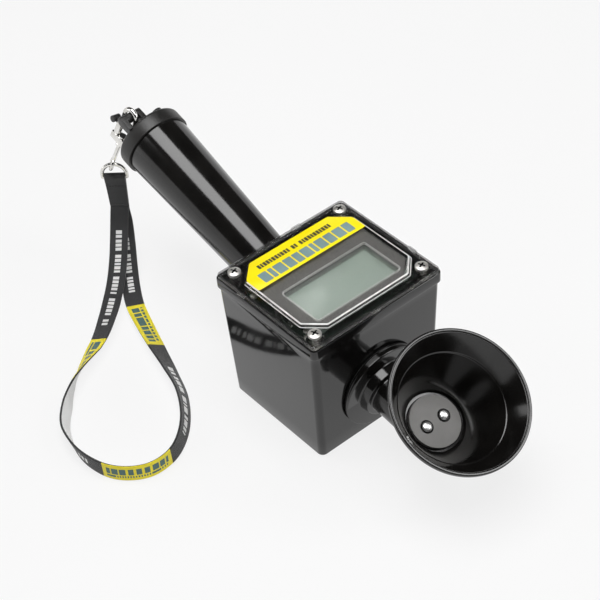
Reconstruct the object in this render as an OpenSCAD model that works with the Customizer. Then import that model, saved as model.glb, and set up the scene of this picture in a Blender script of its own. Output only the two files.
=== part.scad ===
// Hand-held milk conductivity meter: a moulded box with a display, a conical
// battery handle, a sensor cup on a stub neck, and a wrist strap on a snap hook.
// Origin: centre of the housing's underside. +X points to the cup, +Z up.

/* [Housing] */
// Length of the housing's collar along X
lid_x = 77; // [76:0.5:79]
// Width of the housing's collar along Y
lid_y = 85; // [84:0.5:87]
// Length of the housing's underside
base_x = 70; // [69:0.5:72]
// Width of the housing's underside
base_y = 79; // [78:0.5:81]
// Height of the rim that the cover sits on
rim_z = 78.5; // [78.5:0.5:80]
// Height of the collar below the rim
collar_h = 6; // [4:0.5:8]
// Thickness of the housing's walls
wall = 2.5; // [2:0.1:3]

/* [Cover] */
// Distance between cover screws along X
screw_x = 62; // [61:0.5:63]
// Distance between cover screws along Y
screw_y = 70; // [69:0.5:71]
// Thickness of the cover's border
border_t = 2.2; // [2:0.1:2.4]
// Height of the raised window above the border
plateau_h = 1.6; // [1.2:0.1:2]
// Size of the plateau's cut corners
corner_cut = 9.5; // [9:0.5:10]

/* [Handle] */
// Rise of the handle above horizontal, in degrees
handle_rise = 18.25; // [17:0.25:19]
// Height of the handle's axis at the rear wall
handle_z = 47; // [45:0.5:49]
// Radius of the handle at the housing
handle_r1 = 14.5; // [14.2:0.1:15]
// Radius of the handle at the cap
handle_r2 = 18.7; // [18.4:0.1:19.2]
// Length of the handle along its axis
handle_len = 112.6; // [110:0.2:116]
// Radius of the battery chamber
battery_bore = 15; // [14.9:0.05:15.1]

/* [Cup] */
// Tilt of the cup's axis from vertical, in degrees
cup_tilt = 32.85; // [31:0.25:35]
// Distance of the rim's centre in front of the origin
cup_x = 95.2; // [94:0.2:98]
// Height of the rim's centre
cup_z = 58.9; // [58:0.2:61]
// Radius of the rim
rim_r = 36.9; // [36:0.1:38]
// Radius of the electrode base
base_r = 13.75; // [13.5:0.05:14]
// Distance between the electrodes
electrode_gap = 11.4; // [11:0.2:12]

/* [Neck flange] */
// Radius of the flange on the front wall
flange_r = 24.2; // [22:0.1:25]
// Height of the flange's centre
flange_z = 28; // [27:0.5:28.5]
// Downward pitch of the neck's axis, in degrees
neck_pitch = 8; // [7:0.5:9]

/* [Wrist strap] */
// Width of the strap
strap_w = 10.5; // [10:0.1:11]
// Thickness of the strap
strap_t = 1.2; // [1:0.1:1.4]

/* [Hidden] */
$fn = 64;
eps = 0.01;

// Housing
draft = atan((lid_x - 1.6 - base_x) / 2 / (rim_z - collar_h));
top_x = lid_x - 1.6;
top_y = lid_y - 1.6;
function wall_x(z) = base_x / 2 + z * tan(draft);
cover_z = rim_z + border_t;
plateau_z = cover_z + plateau_h;
plateau_x = 31.2;
plateau_y = 36.2;
body_r = 3.5;
collar_r = 3;
post_r = 4.5;
board_z = 67.9;
board_t = 1.6;
board_post = [21, 31.5];
glass_z = 73.3;
glass_t = 2.8;
window = [-3, 24, 27];

// Rear wall: power button
button_z = 17;
button_r = 4.8;
button_travel = 1.5;

// Front wall: neck
flange_t = 2.2;
hub_r = 14.8;
hub_end = 7.5;
neck_r = 11.8;
neck_end = 29.4;
spigot_r = 10;
fit = 0.05;
seat_gap = 0.02;

// Cup profile, measured down its axis from the rim
cup_floor = 33.3;
base_t = 4;
boss_r = 11.5;
boss_end = 50;
electrode_y = electrode_gap / 2;

// Handle
tube_bore = 7;
chamber_start = 50;
cap_skirt = 9;
cap_r = 19.8;
battery_start = 55.4;
battery_size = [26.2, 17.2, 45.5];
plug_len = 7.4;

// Strap hardware, hanging from the end cap's lug
lug = [12.5, -8, handle_len + cap_skirt + 7];
hook_lean = [-14, 20.8, 0];
hook_r = 4.6;
wire_r = 1.4;
hook_len = 16;
trigger_travel = 3.5;
eye_drop = 37.2;
ring_w = 16;
ring_wire = 1.1;
strap_dir = 48;
tab_len = 20;
tab_w = 12;

// Where the D-ring's straight bar lies
bar_at = [-165.8, -16.8, 56];

// The strap's middle line, from the tab round the loop and back to the tab
STRAP = [
    [-165, -17.5, 35.8], [-163.2, -20.3, 28], [-158, -25.5, 20.5], [-149.5, -33, 15],
    [-139.3, -42.3, 11.5], [-130.6, -51.3, 9.2], [-122, -61.2, 7.2], [-111, -75.3, 5.8],
    [-98.2, -97, 5.6], [-85, -113, 5.6], [-69, -126.2, 5.6], [-50, -131, 5.6],
    [-32.5, -128.5, 5.6], [-21, -121, 5.6], [-14.5, -109, 5.6], [-16.5, -94, 5.6],
    [-28, -79, 5.6], [-46, -67, 5.6], [-65.5, -60.5, 5.6], [-85, -55, 5.2],
    [-103, -49.5, 4.4], [-120.5, -43.6, 4.2], [-134.3, -36.5, 5], [-147, -28.6, 8.2],
    [-156.6, -22, 15], [-163.2, -17.6, 24.5], [-166, -16.6, 32], [-166.6, -16, 35.8]
];

// How far the strap is turned about its line, in degrees, at each share of its length
TURNS = [
    [0, 0], [0.2, 0], [0.27, 22], [0.31, 78], [0.34, 106], [0.375, 112], [0.42, 100], [0.46, 92],
    [0.54, 92], [0.6, 112], [0.66, 136], [0.71, 158], [0.77, 174], [0.82, 180], [1, 180]
];

// ---- helpers ----

module rounded_rect(x, y, r) {
    square([x - 2 * r, y], center = true);
    square([x, y - 2 * r], center = true);
    for (i = [-1, 1], j = [-1, 1])
        translate([i * (x / 2 - r), j * (y / 2 - r)]) circle(r, $fn = 32);
}

module cut_rect(x, y, cut) {
    polygon([
        [-x, -y + cut], [-x + cut, -y], [x - cut, -y], [x, -y + cut],
        [x, y - cut], [x - cut, y], [-x + cut, y], [-x, y - cut]
    ]);
}

module ring(r_out, r_in, h) {
    difference() {
        cylinder(r = r_out, h = h);
        translate([0, 0, -1]) cylinder(r = r_in, h = h + 2);
    }
}

// Frames: local +Z is the outward normal or the named axis
module front_wall(z) translate([wall_x(z), 0, z]) rotate([0, 90 + draft, 0]) children();
module rear_wall(z) translate([-wall_x(z), 0, z]) rotate([0, -90 - draft, 0]) children();
module neck_axis()
    translate([wall_x(flange_z), 0, flange_z]) rotate([0, 90 + neck_pitch, 0]) children();
module cup_axis() translate([cup_x, 0, cup_z]) rotate([0, cup_tilt, 0]) children();
module handle_axis()
    translate([-base_x / 2, 0, handle_z]) rotate([0, -90 + handle_rise, 0]) children();
module strap_axis()
    handle_axis() translate(lug) rotate([0, 90 - handle_rise, 0]) rotate(hook_lean) children();
module at_screws() {
    for (i = [-1, 1], j = [-1, 1]) translate([i * screw_x / 2, j * screw_y / 2, 0]) children();
}
module at_board_posts() {
    for (i = [-1, 1], j = [-1, 1]) translate([i * board_post.x, j * board_post.y, 0]) children();
}

// Everything behind a wall's outer face, with room for a gasket
module behind_front(gap) front_wall(flange_z) translate([-60, -60, -60 + gap]) cube([120, 120, 60]);
module behind_rear(gap) rear_wall(handle_z) translate([-60, -60, -60 + gap]) cube([120, 120, 60]);

// Sweeps: a round tube or a flat strap along a line of points
function unit(v) = v / norm(v);
function tangent(p, i) = unit(p[min(i + 1, len(p) - 1)] - p[max(i - 1, 0)]);
function side_of(t, ref) = unit(cross(t, ref));
function bend(p, steps) = [
    for (i = [0 : len(p) - 2], s = [0 : steps - 1])
        let (a = p[max(i - 1, 0)], b = p[i], c = p[i + 1], d = p[min(i + 2, len(p) - 1)], u = s / steps)
        0.5 * (2 * b + (c - a) * u + (2 * a - 5 * b + 4 * c - d) * u * u
               + (3 * b - a - 3 * c + d) * u * u * u),
    p[len(p) - 1]
];
function sweep_faces(rings, sides) = concat(
    [[for (k = [sides - 1 : -1 : 0]) k]],
    [for (i = [0 : rings - 2], k = [0 : sides - 1], half = [0, 1])
        let (a = i * sides + k, b = i * sides + (k + 1) % sides, c = b + sides, d = a + sides)
        half == 0 ? [a, b, c] : [a, c, d]],
    [[for (k = [0 : sides - 1]) (rings - 1) * sides + k]]
);

module tube(points, r, ref = [0, 1, 0], sides = 8) {
    path = bend(points, 3);
    corners = [
        for (i = [0 : len(path) - 1], k = [0 : sides - 1])
            let (t = tangent(path, i), s = side_of(t, ref), u = cross(s, t), a = 360 * k / sides)
            path[i] + r * (cos(a) * s + sin(a) * u)
    ];
    polyhedron(points = corners, faces = sweep_faces(len(path), sides), convexity = 6);
}

// The strap lies flat near its two ends and stands on edge round the loop, with one half turn
function strap_across(u, d) =
    let (a = lookup(u, TURNS), v = [cos(a) * cos(strap_dir), cos(a) * sin(strap_dir), sin(a)])
    unit(v - (v * d) * d);
strap_profile = [
    [0.5, -0.25], [0.5, 0.25], [0.47, 0.5], [-0.47, 0.5],
    [-0.5, 0.25], [-0.5, -0.25], [-0.47, -0.5], [0.47, -0.5]
];

module flat_strap(points, w, t) {
    path = bend(points, 2);
    corners = [
        for (i = [0 : len(path) - 1], q = strap_profile)
            let (d = tangent(path, i), across = strap_across(i / (len(path) - 1), d))
            path[i] + q.x * w * across + q.y * t * cross(across, d)
    ];
    polyhedron(points = corners, faces = sweep_faces(len(path), len(strap_profile)), convexity = 8);
}

// ---- housing and what closes it ----

module housing() color([0.05, 0.05, 0.05]) {
    difference() {
        union() {
            hull() {
                translate([0, 0, 1.2]) linear_extrude(eps) rounded_rect(base_x + 0.1, base_y + 0.1, body_r);
                linear_extrude(eps) rounded_rect(base_x - 1.6, base_y - 1.6, body_r - 0.8);
                translate([0, 0, rim_z - collar_h]) linear_extrude(eps) rounded_rect(top_x, top_y, body_r);
            }
            translate([0, 0, rim_z - collar_h]) linear_extrude(collar_h)
                rounded_rect(lid_x, lid_y, collar_r);
        }
        difference() {
            hull() {
                translate([0, 0, wall]) linear_extrude(eps)
                    rounded_rect(base_x - 2 * wall, base_y - 2 * wall, body_r - 1.5);
                translate([0, 0, rim_z + 1]) linear_extrude(eps)
                    rounded_rect(top_x - 2 * wall, top_y - 2 * wall, body_r - 1.5);
            }
            at_screws() translate([0, 0, 52]) cylinder(r = post_r, h = 30);
            at_board_posts() cylinder(r = 3.2, h = board_z);
            // seats for the two nuts and the switch
            neck_axis() translate([0, 0, -wall - 6]) cylinder(r = 15.5, h = 6);
            handle_axis() translate([0, 0, -wall - 6]) cylinder(r = 15.5, h = 8);
        }
        // flush seats inside, square to each axis
        neck_axis() translate([0, 0, -40 - wall - 3]) cylinder(r = 16.5, h = 40);
        handle_axis() translate([0, 0, -40 - wall - 3.5]) cylinder(r = 16.5, h = 40);
        neck_axis() translate([0, 0, -12]) cylinder(r = spigot_r + fit, h = 24);
        handle_axis() translate([0, 0, -12]) cylinder(r = spigot_r + fit, h = 24);
        rear_wall(button_z) translate([0, 0, -6]) cylinder(r = 6.05, h = 12);
        at_screws() translate([0, 0, rim_z - 14]) cylinder(r = 1.5, h = 20);
        at_board_posts() translate([0, 0, board_z - 8]) cylinder(r = 1.1, h = 9);
        // groove for the gasket
        translate([0, 0, rim_z - 1]) linear_extrude(2) difference() {
            rounded_rect(lid_x - 2.2, lid_y - 2.2, collar_r - 1);
            rounded_rect(lid_x - 5, lid_y - 5, collar_r - 2);
        }
    }
}

module cover_gasket() color([0.1, 0.1, 0.1])
    translate([0, 0, rim_z - 1]) linear_extrude(1) difference() {
        rounded_rect(lid_x - 2.3, lid_y - 2.3, collar_r - 1.05);
        rounded_rect(lid_x - 4.9, lid_y - 4.9, collar_r - 1.95);
    }

module clear_cover() color([0.8, 0.82, 0.82, 0.35]) difference() {
    union() {
        translate([0, 0, rim_z]) linear_extrude(border_t)
            rounded_rect(lid_x - 1.4, lid_y - 1.4, collar_r - 0.6);
        hull() {
            translate([0, 0, rim_z + 0.5]) linear_extrude(border_t - 0.5)
                cut_rect(plateau_x, plateau_y, corner_cut);
            translate([0, 0, plateau_z - eps]) linear_extrude(eps)
                cut_rect(plateau_x - 0.8, plateau_y - 0.8, corner_cut - 0.3);
        }
        // locating lugs on the edges
        edge_x = lid_x / 2 - 0.7;
        edge_y = lid_y / 2 - 0.7;
        for (at = [[-edge_x, 10.8, 0], [17.1, edge_y, 90], [edge_x, -2, 0], [-17.1, -edge_y, 90]])
            translate([at.x, at.y, rim_z]) rotate(at.z) translate([-0.6, -3, 0]) cube([1.2, 6, border_t]);
    }
    translate([0, 0, rim_z - 1]) linear_extrude(2.9)
        cut_rect(plateau_x - 1.8, plateau_y - 1.8, corner_cut - 0.6);
    at_screws() translate([0, 0, rim_z - 1]) cylinder(r = 1.7, h = 5);
}

module cross_screw(head_r, head_h, shank_r, len) {
    difference() {
        union() {
            translate([0, 0, -len]) cylinder(r = shank_r, h = len, $fn = 24);
            intersection() {
                cylinder(r = head_r, h = head_h, $fn = 32);
                translate([0, 0, head_h - 2.6 * head_r]) sphere(2.6 * head_r, $fn = 64);
            }
        }
        for (a = [0, 90]) rotate(a + 20) translate([-0.6 * head_r, -0.14 * head_r, 0.45 * head_h])
            cube([1.2 * head_r, 0.28 * head_r, head_h]);
    }
}

module cover_screws() color([0.8, 0.8, 0.8])
    at_screws() translate([0, 0, cover_z]) cross_screw(3.4, 2.2, 1.45, 13);

module label() color([0.97, 0.87, 0.05])
    translate([0, 0, plateau_z]) linear_extrude(0.2)
        polygon([[-30.2, -26], [-21, -35.2], [-11, -35.2], [-11, 35.2], [-21, 35.2], [-30.2, 26]]);

module display_bezel() color([0.22, 0.22, 0.23]) difference() {
    union() {
        translate([0, 0, 78.7]) linear_extrude(1.4)
            cut_rect(plateau_x - 2.2, plateau_y - 2.2, corner_cut - 0.6);
        translate([(window[0] + window[1]) / 2, 0, glass_z + glass_t]) linear_extrude(3)
            rounded_rect(window[1] - window[0] + 4, 2 * window[2] + 4, 2.5);
        // feet that stand on the board beside the glass
        for (j = [-1, 1]) translate([0, j * 32.7, board_z + board_t]) cylinder(r = 1.6, h = 9.5, $fn = 32);
    }
    translate([(window[0] + window[1]) / 2, 0, 74]) linear_extrude(10)
        rounded_rect(window[1] - window[0], 2 * window[2], 1.5);
}

module display_glass() color([0.66, 0.72, 0.68])
    translate([window[0] - 2.5, -30, glass_z]) cube([window[1] - window[0] + 5, 60, glass_t]);

module display_pins() color([0.75, 0.75, 0.72])
    for (i = [0, 1], j = [0 : 14])
        translate([i == 0 ? window[0] - 1.6 : window[1] + 1.1, -27 + j * 3.8, board_z + board_t])
            cube([0.5, 0.5, glass_z - board_z - board_t]);

// ---- electronics ----

module circuit_board() color([0.08, 0.35, 0.16]) difference() {
    translate([0, 0, board_z]) linear_extrude(board_t) difference() {
        square([63, 74], center = true);
        at_screws() square([13, 13], center = true);
    }
    at_board_posts() translate([0, 0, board_z - 1]) cylinder(r = 1.3, h = 4, $fn = 32);
}

module board_chips() color([0.1, 0.1, 0.1]) {
    // microcontroller, amplifier, regulator and two capacitors under the board
    translate([-6, -6, board_z - 1.6]) cube([12, 12, 1.6]);
    translate([9, -16, board_z - 1.8]) cube([5, 9, 1.8]);
    translate([-12, 12, board_z - 2.4]) cube([6.5, 6.5, 2.4]);
    translate([-14, -14, board_z - 7]) cylinder(r = 3.1, h = 7, $fn = 32);
    translate([12, 14, board_z - 6]) cylinder(r = 2.5, h = 6, $fn = 32);
}

module board_sockets() color([0.9, 0.88, 0.8])
    for (at = [[-22, 5.5], [27, 0], [-22, -13]])
        translate([at.x - 2.5, at.y - 4, board_z - 5]) cube([5, 8, 5]);

module board_screws() color([0.8, 0.8, 0.8])
    at_board_posts() translate([0, 0, board_z + board_t]) cross_screw(2.1, 1.5, 1.05, 8);

// ---- power button on the rear wall ----

module button_bush() color([0.07, 0.07, 0.07]) rear_wall(button_z) {
    difference() {
        union() {
            translate([0, 0, seat_gap]) cylinder(r = 8, h = 2 - seat_gap);
            translate([0, 0, -wall - 3]) cylinder(r = 6, h = wall + 3.5);
        }
        translate([0, 0, -20]) cylinder(r = button_r + 0.08, h = 40);
    }
}

module switch_nut() color([0.75, 0.75, 0.72]) rear_wall(button_z)
    translate([0, 0, -wall - 2.15]) difference() {
        cylinder(r = 8.6, h = 2, $fn = 6);
        translate([0, 0, -1]) cylinder(r = 6.05, h = 4);
    }

module switch_body() color([0.15, 0.15, 0.16]) rear_wall(button_z) difference() {
    translate([0, 0, -wall - 15]) cylinder(r = 7, h = 12);
    translate([0, 0, -wall - 11]) cylinder(r = button_r + 0.3, h = 12);
}

module power_button() color([0.6, 0.08, 0.06]) rear_wall(button_z) {
    translate([0, 0, -wall - 3.2]) cylinder(r = button_r, h = wall + 7.5);
    translate([0, 0, -wall - 8]) cylinder(r = 2, h = 6);
}

module button_spring() color([0.75, 0.75, 0.75]) rear_wall(button_z)
    translate([0, 0, -wall - 10.8]) difference() {
        cylinder(r = 3.4, h = 7.6, $fn = 32);
        translate([0, 0, -1]) cylinder(r = 2.5, h = 10, $fn = 32);
    }

module switch_wires() color([0.2, 0.2, 0.7])
    for (j = [-1, 1]) tube([
        [-17.2, 2.4 * j, button_z + 0.4], [-14, 2.4 * j - 0.5, button_z + 2],
        [-11, 2.4 * j - 3, button_z + 9], [-12, 2.4 * j - 9, 40], [-16, 2.2 * j - 12, 54],
        [-21, 2 * j - 13, 58.5], [-22, 2 * j - 13, board_z - 5.1]
    ], 0.7);

// ---- sensor cup and its neck ----

module cup_outer() rotate_extrude() polygon([
    [0, 0], [rim_r - 0.3, 0], [rim_r, -0.3], [rim_r, -2.4], [rim_r - 1, -3],
    [17.4, -34.2], [17, -39.3], [boss_r, -39.3], [boss_r, -boss_end], [0, -boss_end]
]);

// Slanting hole from the neck's bore into the boss, for the sensor wires
module wire_hole() {
    translate([54.5, 0, 22.1]) rotate([0, 59, 0]) cylinder(r = 2.4, h = 12, $fn = 32);
}

module cup_hollow() {
    rotate_extrude() polygon([
        [0, 1], [rim_r - 2, 1], [rim_r - 2, -0.3], [28.5, -10.9], [27.9, -11.2],
        [15.8, -33], [15.6, -35.3], [0, -35.3]
    ]);
    translate([0, 0, -cup_floor - base_t]) cylinder(r = base_r + fit, h = 4);
    for (j = [-1, 1]) translate([0, j * electrode_y, -42]) cylinder(r = 2.3, h = 8, $fn = 32);
    translate([0, 0, -boss_end - 1]) cylinder(r = 9.3, h = boss_end + 1 - 39.8);
}

module cup() color([0.04, 0.04, 0.04]) difference() {
    cup_axis() cup_outer();
    cup_axis() cup_hollow();
    wire_hole();
}

module electrode_base() color([0.16, 0.16, 0.16]) cup_axis() difference() {
    translate([0, 0, -cup_floor - base_t + eps]) cylinder(r = base_r, h = base_t - eps);
    for (j = [-1, 1]) translate([0, j * electrode_y, 0]) {
        translate([0, 0, -cup_floor - base_t - 1]) cylinder(r = 1.6, h = 10, $fn = 32);
        translate([0, 0, -cup_floor - 0.9]) cylinder(r = 2.9, h = 2, $fn = 32);
    }
}

module electrodes() color([0.8, 0.8, 0.8]) cup_axis() for (j = [-1, 1])
    translate([0, j * electrode_y, -cup_floor]) {
        intersection() {
            translate([0, 0, -1.4]) sphere(2.9, $fn = 48);
            translate([0, 0, -0.3]) cylinder(r = 2.4, h = 4, $fn = 48);
        }
        translate([0, 0, -11.6]) cylinder(r = 1.5, h = 11.8, $fn = 32);
    }

module electrode_seals() color([0.03, 0.03, 0.03]) cup_axis() for (j = [-1, 1])
    translate([0, j * electrode_y, -cup_floor - 0.9]) ring(2.85, 1.52, 0.6);

module electrode_nuts() color([0.75, 0.75, 0.72]) cup_axis() for (j = [-1, 1])
    translate([0, j * electrode_y, -42]) difference() {
        cylinder(r = 2.7, h = 2.2, $fn = 6);
        translate([0, 0, -1]) cylinder(r = 1.55, h = 5, $fn = 32);
    }

module cup_plug() color([0.06, 0.06, 0.06]) cup_axis()
    translate([0, 0, -boss_end]) cylinder(r = 9.25, h = 1.6);

module flange_gasket() color([0.05, 0.05, 0.05]) difference() {
    front_wall(flange_z) translate([0, 0, seat_gap]) cylinder(r = flange_r - 1, h = 0.8 - 2 * seat_gap);
    neck_axis() translate([0, 0, -10]) cylinder(r = spigot_r + 0.4, h = 20);
}

module cup_neck() color([0.04, 0.04, 0.04]) difference() {
    union() {
        difference() {
            neck_axis() {
                translate([0, 0, -6]) cylinder(r = flange_r - 0.3, h = 6 + flange_t - 0.5);
                translate([0, 0, flange_t - 0.5]) cylinder(r1 = flange_r - 0.3, r2 = flange_r - 0.8, h = 0.5);
                translate([0, 0, flange_t]) cylinder(r1 = hub_r + 1, r2 = hub_r, h = hub_end - flange_t);
                translate([0, 0, hub_end]) cylinder(r = neck_r, h = neck_end - hub_end);
            }
            behind_front(0.8);
        }
        front_wall(flange_z) translate([0, 0, 0.8]) cylinder(r = flange_r, h = 1.2);
        neck_axis() translate([0, 0, -wall - 9]) cylinder(r = spigot_r, h = wall + 12);
    }
    cup_axis() cup_outer();
    neck_axis() translate([0, 0, -30]) cylinder(r = 5, h = 50);
    wire_hole();
}

module neck_nut() color([0.12, 0.12, 0.12]) neck_axis()
    translate([0, 0, -wall - 3 - 4.5]) difference() {
        cylinder(r = 15, h = 4.5, $fn = 6);
        translate([0, 0, -1]) cylinder(r = spigot_r + fit, h = 8);
    }

module sensor_wires() color([0.7, 0.1, 0.1])
    for (j = [-1, 1]) tube([
        [70.2, 5.7 * j, 20.2], [68, 4.6 * j, 21.6], [65.4, 2.1 * j, 25.4], [62.8, 1.15 * j, 26.9],
        [59.4, 1.15 * j, 25.1], [55.5, 1.4 * j, 23], [50, 2 * j, 22.8], [40, 2 * j, 24.4],
        [24, 2 * j, 27], [17, 2 * j, 31], [17, 2 * j, 42], [23, 2 * j, 54], [27, 2 * j, 59],
        [27, 2 * j, board_z - 5.1]
    ], 0.7, [0, 1, 0.02]);

// ---- handle and battery ----

module handle_gasket() color([0.05, 0.05, 0.05]) difference() {
    rear_wall(handle_z) translate([0, 0, seat_gap]) cylinder(r = 13.4, h = 0.8 - 2 * seat_gap);
    handle_axis() translate([0, 0, -10]) cylinder(r = spigot_r + 0.4, h = 20);
}

module handle() color([0.04, 0.04, 0.04]) difference() {
    union() {
        difference() {
            handle_axis() {
                cylinder(r1 = handle_r1, r2 = handle_r2, h = handle_len);
                translate([0, 0, -12]) cylinder(r = handle_r1, h = 12 + eps);
            }
            behind_rear(0.8);
        }
        handle_axis() translate([0, 0, -wall - 9]) cylinder(r = spigot_r, h = wall + 12);
    }
    handle_axis() {
        translate([0, 0, -20]) cylinder(r = tube_bore, h = chamber_start + 21);
        translate([0, 0, 4]) cylinder(r1 = 12, r2 = 13.6, h = chamber_start - 6);
        translate([0, 0, chamber_start]) cylinder(r = battery_bore, h = handle_len);
    }
}

module handle_nut() color([0.12, 0.12, 0.12]) handle_axis()
    translate([0, 0, -wall - 3.5 - 4.5]) difference() {
        cylinder(r = 15, h = 4.5, $fn = 6);
        translate([0, 0, -1]) cylinder(r = spigot_r + fit, h = 8);
    }

module battery_leads() color([0.75, 0.1, 0.08])
    for (j = [-1, 1]) tube([
        [-83.2, 3 * j, 62.9], [-70, 2.5 * j, 58.6], [-50, 2.5 * j, 52], [-34, 2.5 * j, 46.6],
        [-24, 2.5 * j + 1, 44.6], [-17, 2 * j + 3, 48], [-16.5, 2 * j + 5, 55],
        [-21, 1.8 * j + 5.5, 59.5], [-22, 1.8 * j + 5.5, board_z - 5.1]
    ], 0.7);

module battery_snap() color([0.08, 0.08, 0.08]) handle_axis()
    translate([0, 0, chamber_start + 1.2]) linear_extrude(1.9) rounded_rect(15.5, 24, 3);

module battery_terminals() color([0.75, 0.75, 0.72]) handle_axis() for (j = [-1, 1])
    translate([0, j * 6.35, chamber_start + 3.1])
        cylinder(r = 3.6, h = battery_start - chamber_start - 3.1);

module battery() color([0.12, 0.2, 0.45]) handle_axis()
    translate([0, 0, battery_start]) linear_extrude(battery_size.z)
        rounded_rect(battery_size.y, battery_size.x, 3.2);

module foam_pad() color([0.25, 0.25, 0.27]) handle_axis()
    translate([0, 0, battery_start + battery_size.z]) cylinder(r = 12, h = 3);

module end_cap() color([0.07, 0.07, 0.07]) handle_axis() difference() {
    union() {
        translate([0, 0, handle_len + 0.1]) rotate_extrude() polygon(concat(
            [[0, 0], [cap_r, 0]],
            [for (a = [0 : 15 : 90]) [cap_r - 2 + 2 * cos(a), cap_skirt - 2 + 2 * sin(a)]],
            [[14.5, cap_skirt], [13.5, cap_skirt - 0.8], [0, cap_skirt - 0.8]]
        ));
        translate([0, 0, handle_len - plug_len]) ring(battery_bore - fit, 11.5, plug_len + 0.2);
        // lug that the hook hangs from
        translate([lug.x, lug.y, handle_len + cap_skirt - 1]) {
            translate([-2.8, -6.6, 0]) cube([5.6, 2.8, 8]);
            translate([-2.8, 3.8, 0]) cube([5.6, 2.8, 8]);
            translate([0, 6.6, 8]) rotate([90, 0, 0]) cylinder(r = 2.8, h = 13.2, $fn = 32);
        }
        // thumb ridge beside the lug
        translate([14.2, 5, handle_len + cap_skirt - 2]) cylinder(r = 3.4, h = 3.4, $fn = 32);
    }
}

// ---- snap hook, ring and strap ----

module hook() color([0.8, 0.8, 0.8]) strap_axis() {
    rotate([90, 0, 0]) rotate_extrude(angle = 180) translate([hook_r, 0]) circle(wire_r, $fn = 24);
    translate([hook_r, 0, -hook_len]) cylinder(r = wire_r, h = hook_len, $fn = 24);
    difference() {
        union() {
            translate([-hook_r, 0, -hook_len]) cylinder(r = 2.2, h = 9, $fn = 32);
            translate([-hook_r - 2.2, -2.2, -hook_len - 4]) cube([2 * hook_r + 3.6, 4.4, 4.2]);
        }
        translate([-hook_r, 0, -hook_len]) cylinder(r = 1.5, h = 12, $fn = 32);
        translate([-hook_r - 4, -0.8, -hook_len + 1]) cube([4, 1.6, 10]);
        translate([0, 0, -hook_len - 6]) cylinder(r = 1.35, h = 10, $fn = 32);
    }
}

module hook_trigger() color([0.05, 0.05, 0.05]) strap_axis() {
    translate([-hook_r, 0, -hook_len + 5.2]) cylinder(r = 1.2, h = hook_len - 5.4, $fn = 24);
    translate([-hook_r - 4.4, -0.5, -hook_len + 5.2]) cube([4.4, 1, 3]);
    translate([-hook_r - 4.6, 0, -hook_len + 6.7]) rotate([90, 0, 0]) translate([0, 0, -2.4])
        cylinder(r = 1.9, h = 4.8, $fn = 32);
}

module trigger_spring() color([0.75, 0.75, 0.75]) strap_axis()
    translate([-hook_r, 0, -hook_len + 0.1]) difference() {
        cylinder(r = 1.3, h = 5, $fn = 24);
        translate([0, 0, -1]) cylinder(r = 0.8, h = 8, $fn = 24);
    }

module swivel_eye() color([0.8, 0.8, 0.8]) strap_axis() {
    translate([0, 0, -hook_len + 0.3]) cylinder(r = 2.1, h = 1.2, $fn = 32);
    translate([0, 0, -eye_drop + 3]) cylinder(r = 1.3, h = eye_drop - hook_len - 2.6, $fn = 32);
    translate([0, 0, -hook_len - 5.6]) cylinder(r = 2.4, h = 1.5, $fn = 32);
    translate([0, 0, -eye_drop]) rotate([90, 0, strap_dir - 90])
        rotate_extrude() translate([3.2, 0]) circle(1, $fn = 20);
}

module d_ring() color([0.8, 0.8, 0.8]) translate(bar_at) rotate([0, 0, strap_dir]) {
    half = ring_w / 2 - ring_wire;
    rotate([0, 90, 0]) translate([0, 0, -half]) cylinder(r = ring_wire, h = 2 * half, $fn = 24);
    for (i = [-1, 1]) {
        translate([i * half, 0, 0]) sphere(ring_wire, $fn = 24);
        translate([i * half, 0, 0]) cylinder(r = ring_wire, h = 2, $fn = 24);
    }
    translate([0, 0, 2]) rotate([90, 0, 0]) rotate_extrude(angle = 180)
        translate([half, 0]) circle(ring_wire, $fn = 24);
}

module strap_tab() color([0.03, 0.03, 0.03]) translate(bar_at) rotate([0, 0, strap_dir]) difference() {
    union() {
        rotate([0, 90, 0]) translate([0, 0, -tab_w / 2 + 0.4]) cylinder(r = 2.3, h = tab_w - 0.8);
        rotate([90, 0, 0]) translate([0, 0, -1.9]) linear_extrude(3.8) polygon([
            [-tab_w / 2, -1.3], [-strap_w / 2, -tab_len], [strap_w / 2, -tab_len], [tab_w / 2, -1.3]
        ]);
    }
    rotate([0, 90, 0]) translate([0, 0, -10]) cylinder(r = ring_wire + fit, h = 20, $fn = 32);
}

module strap() color([0.03, 0.03, 0.03]) flat_strap(STRAP, strap_w, strap_t);

housing();
cover_gasket();
clear_cover();
cover_screws();
label();
display_bezel();
display_glass();
display_pins();
circuit_board();
board_chips();
board_sockets();
board_screws();
switch_body();
switch_nut();
button_bush();
power_button();
button_spring();
switch_wires();
flange_gasket();
cup_neck();
neck_nut();
cup();
electrode_base();
electrodes();
electrode_seals();
electrode_nuts();
cup_plug();
sensor_wires();
handle_gasket();
handle();
handle_nut();
battery_leads();
battery_snap();
battery_terminals();
battery();
foam_pad();
end_cap();
hook();
hook_trigger();
trigger_spring();
swivel_eye();
d_ring();
strap_tab();
strap();
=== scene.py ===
from math import atan, cos, hypot, pi, radians, sin, tan

import bmesh
import bpy
from mathutils import Matrix, Vector


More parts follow.
